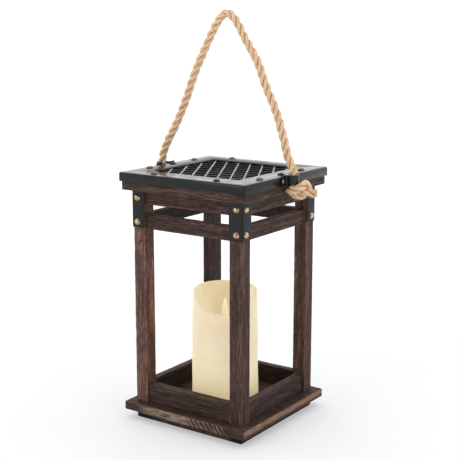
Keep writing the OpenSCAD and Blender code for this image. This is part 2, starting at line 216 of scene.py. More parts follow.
def wood_paint(s, dark, middle, light, worn):
    """Open-grained stained wood: its colour, with the roughness and relief set."""
    grain = s.attribute("grain").outputs["Vector"]
    drift = s.add("ShaderNodeTexNoise", {"Vector": s.stretch(grain, (1, 1, 0.25)), "Scale": 0.06,
                                         "Detail": 2.0}).outputs["Color"]
    bend = s.add("ShaderNodeVectorMath", {0: drift, 1: (9, 9, 0)}, operation="MULTIPLY")
    grain = s.add("ShaderNodeVectorMath", {0: grain, 1: bend.outputs[0]}).outputs[0]
    broad = s.noise(s.stretch(grain, (1, 1, 0.07)), 0.2, 3, 0.5, 0.6)
    streak = s.noise(s.stretch(grain, (1, 1, 0.045)), 0.8, 6, 0.68, 0.5)
    fibre = s.noise(s.stretch(grain, (1, 1, 0.09)), 2.2, 3, 0.65)
    pores = s.noise(s.stretch(grain, (1, 1, 0.12)), 1.25, 3, 0.6, 0.4)
    pore = s.between(pores, 0.55, 0.66)
    figure = s.math("ADD", s.times(streak, 0.6), s.times(broad, 0.4))
    paint = s.mix(s.between(figure, 0.35, 0.53), dark, middle)
    paint = s.mix(s.between(figure, 0.50, 0.66), paint, light)
    paint = s.mix(s.between(fibre, 0.5, 0.68, 0, 0.6), paint, light)
    paint = s.mix(s.times(pore, 0.8), paint, dark)
    patches = s.noise(s.stretch(grain, (1, 1, 0.2)), 0.5, 3)
    paler_patch = s.times(s.attribute("edge").outputs["Fac"], s.between(patches, 0.38, 0.62))
    paint = s.mix(s.times(paler_patch, 0.5), paint, worn)
    s.set(Roughness=s.between(streak, 0.3, 0.7, 0.8, 0.6), Specular_IOR_Level=0.22)
    ridge = s.math("SUBTRACT", s.times(streak, 0.8), pore)
    s.bump(s.math("ADD", ridge, s.times(fibre, 0.5)), 0.35, 0.8)
    return paint


def set_tone_and_painted_light(s, paint):
    """Gives the surface its paint, times the piece's wood tone and painted light and shade."""
    tone_and_painted_light = s.attribute("tone_and_painted_light").outputs["Color"]
    s.set(Base_Color=s.mix(1.0, paint, tone_and_painted_light, "MULTIPLY"))


def wood(name, dark, middle, light, worn):
    s = Shader(name)
    set_tone_and_painted_light(s, wood_paint(s, dark, middle, light, worn))
    return s.material


def base_wood(name, dark, middle, light, worn):
    """The base board's wood: pale sawn edges at the front and right, with slanting saw marks.

    Places are in millimetres from the lantern's middle; the board's edges are at 83.5.
    """
    s = Shader(name)
    paint = wood_paint(s, dark, middle, light, worn)
    place = s.place()
    spot = s.split(place)
    blotch = s.noise(s.stretch(place, (0.6, 1, 1)), 0.09, 4, 0.6)
    streak = s.noise(s.stretch(place, (0.12, 0.12, 1)), 0.5, 5, 0.65)
    front = s.between(spot["Y"], -82.6, -83.1)

    rubbed = s.times(s.between(spot["X"], -66, -44), s.between(spot["X"], 14, 2))
    paler_patch = s.times(front, rubbed, s.between(streak, 0.36, 0.56))
    paint = s.mix(s.times(paler_patch, s.between(blotch, 0.3, 0.5, 0.6, 0.95)), paint, "947f6b")

    slant = s.math("ADD", spot["X"], s.times(spot["Z"], 0.75))
    wave = s.math("SINE", s.math("ADD", s.times(slant, 0.98), s.times(blotch, 8.0)), 0.0)
    marked = s.times(s.between(spot["X"], 0, 8), s.between(spot["X"], 60, 48))
    saw = s.times(front, marked, s.between(wave, 0.15, 0.9))
    paint = s.mix(s.times(saw, s.between(blotch, 0.35, 0.6, 0.35, 0.9)), paint, "8f7965")

    # The pale tan stops above the right edge's bottom strip, which stays dark as painted shade.
    right = s.times(s.between(spot["X"], 82.6, 83.1), s.between(spot["Z"], 12.3, 15.3),
                    s.between(streak, 0.36, 0.6, 0.4, 0.95))
    set_tone_and_painted_light(s, s.mix(right, paint, "94705c"))
    return s.material


def plinth_wood(name, dark, middle, light, worn):
    """Black paint, brown along the middle of the front."""
    s = Shader(name)
    paint = wood_paint(s, dark, middle, light, worn)
    place = s.place()
    spot = s.split(place)
    front = s.between(spot["Y"], -72.2, -72.7)
    middle_part = s.times(s.between(spot["X"], -62, -30), s.between(spot["X"], 60, 56))
    paler_patch = s.times(front, middle_part, s.between(s.noise(place, 0.12, 4), 0.35, 0.6, 0.25, 0.95))
    s.set(Base_Color=s.mix(paler_patch, paint, "4d3a2d"))
    return s.material


def metal_coat(name, tint, rough, peel, ior=1.3):
    """Black powder coat with a fine orange peel and faint rubbed patches."""
    s = Shader(name)
    place = s.place()
    patch = s.noise(place, 0.06, 4, 0.6)
    s.set(Base_Color=s.mix(s.between(patch, 0.45, 0.7, 0, 0.5), tint, "16181a"))
    s.set(Roughness=s.between(patch, 0.3, 0.7, rough - 0.06, rough + 0.08), IOR=ior)
    s.bump(s.noise(place, 1.1, 2), peel)
    return s.material


def bare_metal(name, tint, stain, rough):
    """Bare or plated metal with darker stains."""
    s = Shader(name)
    place = s.place()
    patch = s.noise(place, 0.45, 4, 0.65)
    s.set(Base_Color=s.mix(s.between(patch, 0.42, 0.64), tint, stain), Metallic=1.0)
    s.set(Roughness=s.between(patch, 0.35, 0.65, rough - 0.05, rough + 0.15))
    s.bump(s.noise(place, 1.6, 3), 0.06)
    return s.material


def plastic(name, tint, shade, rough):
    """Moulded plastic or a coated part, with a faint sheen change and texture."""
    s = Shader(name)
    place = s.place()
    patch = s.noise(place, 0.12, 3)
    s.set(Base_Color=s.mix(s.between(patch, 0.4, 0.65), tint, shade))
    s.set(Roughness=s.between(patch, 0.35, 0.65, rough, rough + 0.1))
    s.bump(s.noise(place, 2.5, 2), 0.02)
    return s.material


def jute(name):
    """Twisted jute: fine fibres along each strand, pale on top and darker brown in the lays as
    painted shade.
    """
    s = Shader(name)
    fibre = s.attribute("fibre").outputs["Vector"]
    hair = s.noise(s.stretch(fibre, (1, 1, 0.12)), 2.6, 4, 0.6, 0.5)
    tuft = s.noise(s.stretch(fibre, (1, 1, 0.3)), 0.5, 3)
    paint = s.mix(s.between(hair, 0.36, 0.62), "c1966f", "f6ddbb")
    paint = s.mix(s.between(tuft, 0.4, 0.7, 0, 0.45), paint, "e5bf99")
    # Strand sides that face into the lays are darkened as painted shade.
    lay_shade = s.attribute("shade_depth").outputs["Fac"]
    s.set(Base_Color=s.mix(s.between(lay_shade, 0.3, 0.95, 0, 0.5), paint, "a87d56"))
    s.set(Roughness=0.85, Specular_IOR_Level=0.2)
    s.bump(hair, 0.3, 0.9)
    return s.material


def wax(name):
    """Ivory wax that light enters, warmer in the melted bowl, with a painted glow that grows
    towards the foot.
    """
    s = Shader(name)
    place = s.place()
    cloud = s.noise(place, 0.03, 4)
    paint = s.mix(s.between(cloud, 0.4, 0.65), "f0e1c3", "eedcba")
    melt = s.attribute("melt").outputs["Fac"]
    s.set(Base_Color=s.mix(melt, paint, "f7edc8"))
    # Painted glow: the wax gives off light, more towards the foot, standing in for light reaching
    # it.
    painted_glow_down = s.between(s.split(place)["Z"], 105, 25, 0.08, 0.33)
    s.set(Emission_Color=colour("ffe9b8"), Emission_Strength=painted_glow_down)
    s.set(Subsurface_Weight=0.3, Subsurface_Radius=(0.012, 0.008, 0.004))
    s.set(Subsurface_Scale=1.0, IOR=1.44)
    s.set(Roughness=s.between(cloud, 0.35, 0.65, 0.42, 0.55))
    s.bump(s.noise(place, 0.35, 3), 0.12)
    return s.material


def glow(name, tint, strength):
    """Milky plastic that passes a little lamp light."""
    s = Shader(name)
    cloud = s.noise(s.place(), 0.3, 2)
    s.set(Base_Color=s.mix(cloud, tint, "fff4dc"), Roughness=0.3)
    s.set(Subsurface_Weight=0.4, Subsurface_Radius=(0.004, 0.003, 0.002), Subsurface_Scale=1.0)
    s.set(Emission_Color=colour("fff3d8"), Emission_Strength=strength)
    return s.material


def make_materials():
    return {
        "wood": wood("walnut_stained_wood", "17100d", "3a2a24", "6c5045", "7c5e4e"),
        "base_wood": base_wood("base_board_wood", "18110d", "382922", "5c463b", "7c5f4e"),
        "black_wood": plinth_wood("black_painted_wood", "0a0908", "100e0d", "1c1816", "2a2420"),
        "cap": metal_coat("black_cap_coat", "0a0b0c", 0.2, 0.03, 1.34),
        "coat": metal_coat("black_bracket_coat", "131416", 0.4, 0.04),
        "gloss": metal_coat("black_strap_coat", "0b0c0e", 0.22, 0.02, 1.4),
        # The lattice's two strand families: a dark coat as painted shade, and bright steel as
        # painted light.
        "lattice": metal_coat("shaded_lattice_coat", "140f0d", 0.28, 0.04, 1.6),
        "lit_lattice": bare_metal("lit_lattice_steel", "a8a4a0", "77726c", 0.3),
        "brass": bare_metal("antique_brass", "cdb08e", "86694a", 0.28),
        "bronze": bare_metal("dark_bronze", "63523f", "241d17", 0.32),
        "black_steel": bare_metal("blackened_steel", "2a2a2b", "121212", 0.35),
        # The strap rivets are light grey steel rather than black, as a painted highlight.
        "strap_steel": bare_metal("dark_steel_painted_highlight", "8b8c8e", "3c3d3e", 0.25),
        "zinc": bare_metal("zinc_plated_steel", "b4b6b8", "83868a", 0.3),
        "spring": bare_metal("spring_steel", "9da0a3", "63666a", 0.28),
        "contact": bare_metal("contact_brass", "d0a64e", "96742f", 0.25),
        "beech": wood("beech_dowel_wood", "a9835a", "c9a674", "dcc197", "dcc197"),
        "jute": jute("jute_rope"),
        "wax": wax("ivory_wax"),
        "flame": glow("milky_flame", "fbf8ec", 0.14),
        "lamp": glow("lamp_lens", "fff2d0", 0.3),
        "white": plastic("white_plastic", "e6e3da", "dad6ca", 0.4),
        "sleeve": plastic("battery_sleeve", "4b6b80", "3d5869", 0.3),
        "board": plastic("green_board", "2c6a3c", "22552f", 0.45),
    }


# ---- Mesh helpers: shapes are worked out in millimetres ----

def new_object(name, points, faces, material, sharp=40):
    mesh = bpy.data.meshes.new(name)
    mesh.from_pydata((np.asarray(points, float) * MM).tolist(), [], faces)
    mesh.materials.append(material)
    mesh.shade_smooth()
    mesh.set_sharp_from_angle(angle=math.radians(sharp))
    thing = bpy.data.objects.new(name, mesh)
    bpy.context.scene.collection.objects.link(thing)
    return thing


def give(thing, name, values):
    """Stores a number or a vector for each point, for the material to read."""
    values = np.asarray(values, np.float32)
    kind, field = ("FLOAT", "value") if values.ndim == 1 else ("FLOAT_VECTOR", "vector")
    attribute = thing.data.attributes.new(name, kind, "POINT")
    attribute.data.foreach_set(field, values.ravel())


def stand_for(thing, slot, body, *nodes):
    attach(thing, body)
    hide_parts(*nodes)
    return thing


def box_of(node):
    """A CAD node's lowest and highest corners in millimetres."""
    low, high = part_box(node)
    return np.array(low) / MM, np.array(high) / MM


def turned(points, quarter):
    """Points turned by quarter turns about the upright axis."""
    c, s = ((1, 0), (0, 1), (-1, 0), (0, -1))[quarter % 4]
    return np.asarray(points, float) @ np.array([[c, s, 0], [-s, c, 0], [0, 0, 1]])


def rounded_outline(corners, radii, spacing=1e9, arc_steps=5):
    """A closed outline with rounded corners, and points along its straight sides."""
    count = len(corners)
    bends = []
    for i in range(count):
        before, here, after = (Vector(corners[(i + k) % count]) for k in (-1, 0, 1))
        a, b = (before - here).normalized(), (after - here).normalized()
        half = a.angle(b) / 2
        centre = here + (a + b).normalized() * (radii[i] / math.sin(half))
        start = here + a * (radii[i] / math.tan(half)) - centre
        sweep = math.copysign(math.pi - 2 * half, -a.cross(b) if start.length else 1)
        turns = [Matrix.Rotation(sweep * k / arc_steps, 2) for k in range(arc_steps + 1)]
        bends.append([centre + turn @ start for turn in turns])
    outline = []
    for i in range(count):
        end, begin = bends[i][-1], bends[(i + 1) % count][0]
        steps = max(1, round((begin - end).length / spacing))
        outline += bends[i]
        outline += [end.lerp(begin, k / steps) for k in range(1, steps)]
    return [tuple(p) for p in outline]


def grid_faces(rows, columns, close_rows, close_columns):
    """Faces of a grid of points, row by row, joined up where it closes."""
    faces = []
    for i in range(rows if close_rows else rows - 1):
        for j in range(columns if close_columns else columns - 1):
            i2, j2 = (i + 1) % rows, (j + 1) % columns
            faces.append((i * columns + j, i * columns + j2, i2 * columns + j2, i2 * columns + j))
    return faces


def prism(outline, low, high):
    """An upright prism on an outline, as points and faces."""
    count = len(outline)
    points = [(x, y, z) for z in (low, high) for x, y in outline]
    faces = grid_faces(2, count, False, True)
    faces += [tuple(reversed(range(count))), tuple(range(count, 2 * count))]
    return points, faces


def lathe(profile, segments):
    """A closed turned shape from (radius, height) pairs that start and end on the axis."""
    points = [(0, 0, profile[0][1])]
    for r, z in profile[1:-1]:
        for k in range(segments):
            a = 2 * math.pi * k / segments
            points.append((r * math.cos(a), r * math.sin(a), z))
    points.append((0, 0, profile[-1][1]))
    rings = len(profile) - 2
    faces = [tuple(1 + k for k in face) for face in grid_faces(rings, segments, False, True)]
    last = 1 + (rings - 1) * segments
    for k in range(segments):
        k2 = (k + 1) % segments
        faces.append((0, 1 + k2, 1 + k))
        faces.append((len(points) - 1, last + k, last + k2))
    return np.array(points), faces


def joined(parts):
    """Several (points, faces) as one."""
    points, faces, start = [], [], 0
    for part_points, part_faces in parts:
        points.append(np.asarray(part_points, float))
        faces += [tuple(start + k for k in face) for face in part_faces]
        start += len(part_points)
    return np.concatenate(points), faces


def soften(thing, width, segments=2):
    """Rounds a mesh's sharp edges."""
    work = bmesh.new()
    work.from_mesh(thing.data)
    sharp = [e for e in work.edges if e.is_manifold and e.calc_face_angle() > math.radians(35)]
    bmesh.ops.bevel(work, geom=sharp, offset=width * MM, segments=segments, affect="EDGES",
                    clamp_overlap=True)
    bmesh.ops.recalc_face_normals(work, faces=work.faces)
    work.to_mesh(thing.data)
    work.free()
    thing.data.shade_smooth()
    thing.data.set_sharp_from_angle(angle=math.radians(40))


def aimed(points, out, at):
    """Points drawn with their top along +Z, turned to face out and moved to a place."""
    turn = Vector((0, 0, 1)).rotation_difference(Vector(out)).to_matrix()
    return np.asarray(points) @ np.array(turn).T + np.array(at)


# ---- Rope ----

def smooth_path(points, spacing):
    """Places at an even spacing on a smooth curve through the points."""
    pts = [np.array(p, float) for p in points]
    pts = [2 * pts[0] - pts[1]] + pts + [2 * pts[-1] - pts[-2]]
    fine = []
    for a, b, c, d in zip(pts, pts[1:], pts[2:], pts[3:]):
        for t in np.linspace(0, 1, 24, endpoint=False):
            fine.append(0.5 * (2 * b + (c - a) * t + (2 * a - 5 * b + 4 * c - d) * t * t
                               + (3 * b - a - 3 * c + d) * t ** 3))
    fine = np.array(fine + [pts[-2]])
    run = np.concatenate([[0], np.cumsum(np.linalg.norm(np.diff(fine, axis=0), axis=1))])
    even = np.linspace(0, run[-1], round(run[-1] / spacing) + 1)
    return np.stack([np.interp(even, run, fine[:, k]) for k in range(3)], axis=1), even


def frames_along(path):
    """Directions along a path, with two across it that turn as little as they can."""
    along = np.gradient(path, axis=0)
    along /= np.linalg.norm(along, axis=1)[:, None]
    across = [np.array([0.0, 1.0, 0.0])]
    for step in along[1:]:
        flat = across[-1] - step * (across[-1] @ step)
        across.append(flat / np.linalg.norm(flat))
    across = np.array(across)
    return along, across, np.cross(along, across)


def rope_path():
    """The whole rope from the left tail to the right tail, in millimetres."""
    handle = [(x, 0, SWING_Z + z) for x, z in HANDLE_ROUTE]
    left = [(-x, -y, z) for x, y, z in reversed(KNOT_ROUTE)]
    route = np.array(left + handle + KNOT_ROUTE) / MM
    return smooth_path(route, 1.1)


def make_rope(materials, path, run):
    """Three right-laid strands, opening a little at the two cut ends."""
    along, across, up = frames_along(path)
    sides, ridges, ridge_turn = 16, 5, 0.23
    strand_r, strand_out = 2.28, 2.52
    end_length = 5
    end_gap = np.minimum(run, run[-1] - run)
    loose = np.clip(1 - end_gap / end_length, 0, 1)
    parts, fibres, shade_depths = [], [], []
    for strand in range(3):
        turn = 2 * math.pi * (run * MM / ROPE_LAY + strand / 3)
        out = across * np.cos(turn)[:, None] + up * np.sin(turn)[:, None]
        side = np.cross(along, out)
        wobble = np.array([noise.noise((s * 0.11, strand * 9.0, 1.0)) for s in run])
        centre = path + out * (strand_out * (1 + 0.5 * loose + 0.08 * wobble))[:, None]
        points = []
        for k in range(sides):
            a = 2 * math.pi * k / sides
            yarn = 1 + 0.05 * np.cos(ridges * (a - run * ridge_turn))
            rough = np.array([noise.noise((s * 0.5, k * 1.7, strand * 7.0)) for s in run])
            size = strand_r * yarn * (1 + 0.07 * rough) * (1 - 0.3 * loose)
            points.append(centre + (out * math.cos(a) + side * math.sin(a)) * size[:, None])
            shade_depths.append(np.full(len(run), 0.5 - 0.5 * math.cos(a)))
            fibres.append(np.stack([np.full(len(run), 2.1 * math.cos(a) + 9 * strand),
                                    np.full(len(run), 2.1 * math.sin(a)),
                                    run + 1.2 * a], axis=1))
        faces = grid_faces(sides, len(run), True, False)
        first = [k * len(run) for k in range(sides)]
        last = [k * len(run) + len(run) - 1 for k in reversed(range(sides))]
        parts.append((np.concatenate(points), faces + [tuple(first), tuple(last)]))
    points, faces = joined(parts)
    rope = new_object("rope", points, faces, materials["jute"], 60)
    bpy.context.view_layer.update()
    give(rope, "fibre", np.concatenate(fibres))
    give(rope, "shade_depth", np.concatenate(shade_depths))
    return rope


def hair(root, heading, length, radius, curl):
    """One thin fibre: three sides, tapering to a point."""
    heading = heading / np.linalg.norm(heading)
    side = np.cross(heading, [0.31, 0.52, 0.79])
    side /= np.linalg.norm(side)
    up = np.cross(heading, side)
    points = []
    for t, share in ((0, 1.0), (0.35, 0.9), (0.7, 0.6)):
        middle = root + heading * (length * t) + curl * (length * t * t)
        for k in range(3):
            a = 2 * math.pi * k / 3
            points.append(middle + (side * math.cos(a) + up * math.sin(a)) * radius * share)
    points.append(root + heading * length + curl * length)
    faces = grid_faces(3, 3, False, True) + [(2, 1, 0)]
    faces += [(6 + k, 6 + (k + 1) % 3, 9) for k in range(3)]
    return points, faces


def make_fuzz(materials, path, run):
    """Loose fibres that stand out of the rope, thickest on the knots and the cut ends."""
    along, across, up = frames_along(path)
    draw = random.Random(5)
    knot, side_hairs, end_hairs = 108, 1500, 110
    root_out = 4.1
    hairs = []
    total = run[-1]
    for _ in range(side_hairs):
        near_end = draw.random() < 0.42
        s = draw.uniform(0, knot) if near_end else draw.uniform(knot, total - knot)
        if near_end and draw.random() < 0.5:
            s = total - s
        i = int(np.searchsorted(run, s))
        a = draw.uniform(0, 2 * math.pi)
        out = across[i] * math.cos(a) + up[i] * math.sin(a)
        side = np.cross(along[i], out)
        sign = draw.choice((-1, 1))
        heading = along[i] * sign + side * 0.55 * sign + out * draw.uniform(0.15, 0.9)
        curl = np.array([draw.uniform(-0.35, 0.35) for _ in range(3)])
        length = draw.uniform(2.0, 6.5)
        root = path[i] + out * root_out
        hairs.append(hair(root, heading, length, draw.uniform(0.07, 0.12), curl))
    for end, way in ((0, -1), (len(path) - 1, 1)):
        for _ in range(end_hairs):
            a = draw.uniform(0, 2 * math.pi)
            out = across[end] * math.cos(a) + up[end] * math.sin(a)
            heading = along[end] * way + out * draw.uniform(0, 0.5)
            root = path[end] + out * draw.uniform(0.3, 4.2) - along[end] * way * 1.0
            curl = np.array([draw.uniform(-0.2, 0.2) for _ in range(3)])
            hairs.append(hair(root, heading, draw.uniform(2.0, 4.2), 0.14, curl))
    points, faces = joined(hairs)
    fuzz = new_object("rope_fuzz", points, faces, materials["jute"], 80)
    spread = np.array([(p[0] * 3, p[1] * 3, p[2] * 3) for p in points])
    give(fuzz, "fibre", spread)
    give(fuzz, "shade_depth", np.full(len(points), 0.1))
    return fuzz


def make_cord(materials):
    path, run = rope_path()
    rope = make_rope(materials, path, run)
    fuzz = make_fuzz(materials, path, run)
    for thing in (rope, fuzz):
        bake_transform(thing)
    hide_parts("rope_handle", "rope_end_left", "rope_end_right",
                "rope_knot_left", "rope_knot_right")
    return rope, [tuple(p * MM) for p in path[::2]]


# ---- Wooden pieces ----

def side_steps(half, edge, spacing):
    """Places across one side of a bar, closer together over its rounded edges."""
    inner = half - edge
    middle = np.linspace(-inner, inner, max(2, round(2 * inner / spacing)) + 1)
    rim = half - edge * (1 - np.tan(np.radians([45, 30, 15])))
    return np.concatenate([-rim, middle, rim[::-1]])


def box_grid(half, edge, spacing):
    """A rounded block's points and faces."""
    steps = [side_steps(h, edge, s) for h, s in zip(half, spacing)]
    index, points, faces = {}, [], []

    def corner(key):
        if key not in index:
            index[key] = len(points)
            points.append([steps[a][key[a]] for a in range(3)])
        return index[key]

    for axis in range(3):
        u, v = (axis + 1) % 3, (axis + 2) % 3
        for end in (0, len(steps[axis]) - 1):
            for i in range(len(steps[u]) - 1):
                for j in range(len(steps[v]) - 1):
                    square = [(i, j), (i + 1, j), (i + 1, j + 1), (i, j + 1)]
                    keys = []
                    for a, b in square if end else reversed(square):
                        key = [end] * 3
                        key[u], key[v] = a, b
                        keys.append(tuple(key))
                    faces.append(tuple(corner(key) for key in keys))
    points = np.array(points)
    core = np.clip(points, edge - half, half - edge)
    away = points - core
    return core + away * (edge / np.linalg.norm(away, axis=1))[:, None], faces


def weathered(points, half, seed, amount):
    """A block's points with slight unevenness and small chips along the edges."""
    gaps = np.sort(half - np.abs(points), axis=1)
    near = np.exp(-np.maximum(gaps[:, 1], 0) / 1.1)
    out = points / np.linalg.norm(points, axis=1)[:, None]
    moved = []
    for p, o, n in zip(points, out, near):
        spot = Vector(p) + Vector((seed, 3 * seed, 7 * seed))
        wave = noise.noise(spot * 0.045) * 0.5 + noise.noise(spot * 0.21) * 0.3
        chip = max(0.0, noise.noise(spot * 0.33) - 0.12) * n * 1.6
        inward = np.clip(p / 4, -1, 1)
        moved.append(p + o * (wave * amount) - inward * (chip * amount * 2))
    return np.array(moved), near


def wooden(name, node, along, materials, kind, slot, tone_and_painted_light=(1, 1, 1), edge=0.7, spacing=2.2,
           amount=0.16, inner=1.0):
    """A worn wooden bar or board in the place of a CAD node, with its grain along one axis.

    inner below 1 darkens the face that looks into the lantern, as painted shade.
    """
    low, high = box_of(node)
    half, middle = (high - low) / 2, (high + low) / 2
    step = [spacing] * 3
    step[along] = 2.2 * spacing
    points, faces = box_grid(half, edge, step)
    seed = (sum(ord(c) for c in name) % 97) * 11.3
    worn, near = weathered(points, half, seed, amount)
    thing = new_object(name, worn + middle, faces, materials[kind], 60)
    across = [k for k in range(3) if k != along]
    give(thing, "grain", points[:, across + [along]] + np.array([seed, 2 * seed, 5 * seed]))
    give(thing, "edge", near)
    tones_and_painted_light = np.tile(np.array(tone_and_painted_light, float), (len(points), 1))
    # The face that looks into the lantern is darkened as painted shade.
    if inner < 1:
        shade_depth = np.abs((points + middle)[:, 1 - along])
        tones_and_painted_light[shade_depth < shade_depth.min() + 0.6] *= inner
    give(thing, "tone_and_painted_light", tones_and_painted_light)
    return stand_for(thing, slot, "lantern", node)


def make_posts_and_rails(materials):
    # Each post's colour factor matches its brightness. It is partly wood tone and partly painted
    # light and shade; the rear left post is darkened as painted shade.
    tones_and_painted_light = {"front_left": (2.05, 1.84, 1.78), "front_right": (1.05, 1.0, 1.0),
             "rear_right": (1.3, 1.2, 1.15), "rear_left": (0.6, 0.58, 0.58)}
    for corner in CORNERS:
        name = f"post_{corner}"
        wooden(f"{name}_bar", name, 2, materials, "wood", "post_wood", tones_and_painted_light[corner])
    for i, side in enumerate(SIDES):
        # The rails get darker towards the bottom, and their faces into the lantern get half
        # brightness as painted shade.
        for level, tone_and_painted_light in (("tray", 0.8), ("mid", 0.9), ("top", 0.95)):
            name = f"{level}_rail_{side}"
            wooden(f"{name}_bar", name, i % 2, materials, "wood", "rail_wood", (tone_and_painted_light,) * 3,
                   inner=0.5)


def make_base(materials):
    wooden("base_board_slab", "base_board", 0, materials, "base_wood", "base_wood", edge=2.0)
    wooden("plinth_slab", "plinth", 0, materials, "black_wood", "black_wood", edge=0.9)


def make_top_frame(materials):
    """Four mitred sides, rebated on top for the vent lattice."""
    low, high = box_of("top_frame_front")
    outer, hole = -low[1], -high[1]
    ledge, pocket = box_of("vent_mesh")[0][2], box_of("vent_mesh")[1][0] + 0.5
    corners = [(outer, low[2]), (outer, high[2]), (pocket, high[2]), (pocket, ledge),
               (hole, ledge), (hole, low[2])]
    profile = rounded_outline(corners, (0.9, 0.6, 0.3, 0.1, 0.3, 0.7), 1.8, 3)
    shares = np.linspace(-1, 1, 61)
    for i, side in enumerate(SIDES):
        seed = 31.7 * (i + 2)
        points, grain, near, tone_and_painted_light = [], [], [], []
        for s in shares:
            for d, z in profile:
                p = Vector((s * (d - 0.08), -d, z))
                spot = p + Vector((seed, 0, 3 * seed))
                gap = min(math.hypot(d - outer, z - e) for e in (low[2], high[2]))
                n = math.exp(-gap / 1.2)
                chip = max(0.0, noise.noise(spot * 0.3) - 0.1) * n * 0.5
                wave = noise.noise(spot * 0.05) * 0.12
                points.append((p.x, p.y + chip + wave, p.z))
                grain.append((p.y + seed, p.z + 2 * seed, p.x + 5 * seed))
                near.append(n)
                # Within 8 mm of the hole, except on the underside, the frame gets a quarter of its
                # colour as painted shade.
                tone_and_painted_light.append([1.0 if d > hole + 8 or z < low[2] + 0.2 else 0.25] * 3)
        faces = grid_faces(len(shares), len(profile), False, True)
        last = (len(shares) - 1) * len(profile)
        faces.append(tuple(reversed(range(len(profile)))))
        faces.append(tuple(range(last, last + len(profile))))
        thing = new_object(f"top_frame_{side}_bar", turned(points, i), faces,
                           materials["wood"], 50)
        give(thing, "grain", grain)
        give(thing, "edge", near)
        give(thing, "tone_and_painted_light", tone_and_painted_light)
        stand_for(thing, "top_wood", "lantern", f"top_frame_{side}")


# ---- Sheet metal ----

def square_ring(half, corner, z, steps=4):
    """Points round a square with rounded corners."""
    points = []
    for i in range(4):
        for k in range(steps + 1):
            a = math.pi / 2 * (i + k / steps)
            cx = (half - corner) * (1 if i in (0, 3) else -1)
            cy = (half - corner) * (1 if i < 2 else -1)
            points.append((cx + corner * math.cos(a), cy + corner * math.sin(a), z))
    return points


def make_cap(materials):
    """A folded sheet with a turned-down flange and a square vent."""
    low, high = box_of("cap")
    half, bend, lip = high[0], 1.7, 0.25
    arc = [math.radians(a) for a in (0, 18, 36, 54, 72, 90)]
    profile = [(half - lip, low[2]), (half, low[2] + lip)]
    profile += [(half - bend + bend * math.cos(a), high[2] - bend + bend * math.sin(a))
                for a in arc]
    profile += [(VENT_HALF + lip, high[2]), (VENT_HALF, high[2] - lip),
                (VENT_HALF, high[2] - SHEET)]
    inner = half - SHEET
    fold = bend - SHEET
    profile += [(inner - fold + fold * math.cos(a), high[2] - SHEET - fold + fold * math.sin(a))
                for a in reversed(arc)]
    profile.append((inner, low[2]))
    rings = []
    for h, z in profile:
        corner = 1.8 if h > 70 else 1.2
        rings.append(square_ring(h, corner, z))
    points = [p for ring in rings for p in ring]
    faces = grid_faces(len(rings), len(rings[0]), True, True)
    cap = new_object("cap_sheet", points, faces, materials["cap"], 50)
    stand_for(cap, "black_metal", "lantern", "cap")


def make_brackets(materials):
    low, high = box_of("bracket_front_left")
    a, b = low[0], high[0]
    t = SHEET
    corners = [(a, a), (b, a), (b, a + t), (a + t, a + t), (a + t, b), (a, b)]
    outline = rounded_outline(corners, (1.7, 0.2, 0.2, 0.5, 0.2, 0.2))
    for i, corner in enumerate(CORNERS):
        points, faces = prism(outline, low[2], high[2])
        bracket = new_object(f"bracket_{corner}_sheet", turned(points, i), faces,
                             materials["coat"])
        soften(bracket, 0.22)
        stand_for(bracket, "black_metal", "lantern", f"bracket_{corner}")


def make_straps(materials):
    """A saddle over the rope with an ear at each end, on the cap's right and left."""
    low, high = box_of("rope_strap_right")
    face, tip, reach = low[0], high[0], high[1] - EAR_TRIM
    t = SHEET
    wide = tip - ROPE_X
    corners = [(face, -reach), (face + t, -reach), (face + t, -wide), (tip, -wide),
               (tip, wide), (face + t, wide), (face + t, reach), (face, reach),
               (face, wide - t), (tip - t, wide - t), (tip - t, t - wide), (face, t - wide)]
    radii = (0.3, 0.3, 1.4, wide - 0.01, wide - 0.01, 1.4, 0.3, 0.3, 0.4,
             wide - t - 0.01, wide - t - 0.01, 0.4)
    outline = rounded_outline(corners, radii, arc_steps=8)
    for i, side in ((0, "right"), (2, "left")):
        points, faces = prism(outline, low[2], high[2] + EAR_RAISE)
        strap = new_object(f"rope_strap_{side}_band", turned(points, i), faces,
                           materials["gloss"])
        soften(strap, 0.25)
        stand_for(strap, "black_metal", "lantern", f"rope_strap_{side}")


def squared(value):
    """A circle's sine or cosine, pushed toward a square's."""
    return math.copysign(abs(value) ** 0.6, value)


def strand(x0, start, stop, z, way):
    """One tilted strand of the lattice, thicker at its knuckles, as points and faces."""
    lean = math.atan(DIAMOND_WIDE / DIAMOND_TALL)
    gap = DIAMOND_TALL / 2
    along = np.array([way * math.sin(lean), math.cos(lean), 0])
    across = np.array([math.cos(lean), -way * math.sin(lean), 0])
    tilt = math.radians(STRAND_TILT) * way
    wide = across * math.cos(tilt) + np.array([0, 0, math.sin(tilt)])
    thick = np.array([0, 0, math.cos(tilt)]) - across * math.sin(tilt)
    points, sides = [], 8
    ys = np.linspace(start, stop, max(3, round((stop - start) / 1.4)))
    for y in ys:
        knuckle = math.exp(-((y / gap - round(y / gap)) * gap / 1.9) ** 2)
        w, t = 0.82 + 0.45 * knuckle, 0.42 + 0.1 * knuckle
        centre = np.array([x0, 0, z]) + along * (y / math.cos(lean))
        for k in range(sides):
            a = k * 2 * math.pi / sides
            points.append(centre + wide * (w * squared(math.cos(a)))
                          + thick * (t * squared(math.sin(a))))
    faces = grid_faces(len(ys), sides, False, True)
    end = sides * (len(ys) - 1)
    faces += [tuple(reversed(range(sides))), tuple(range(end, end + sides))]
    return points, faces


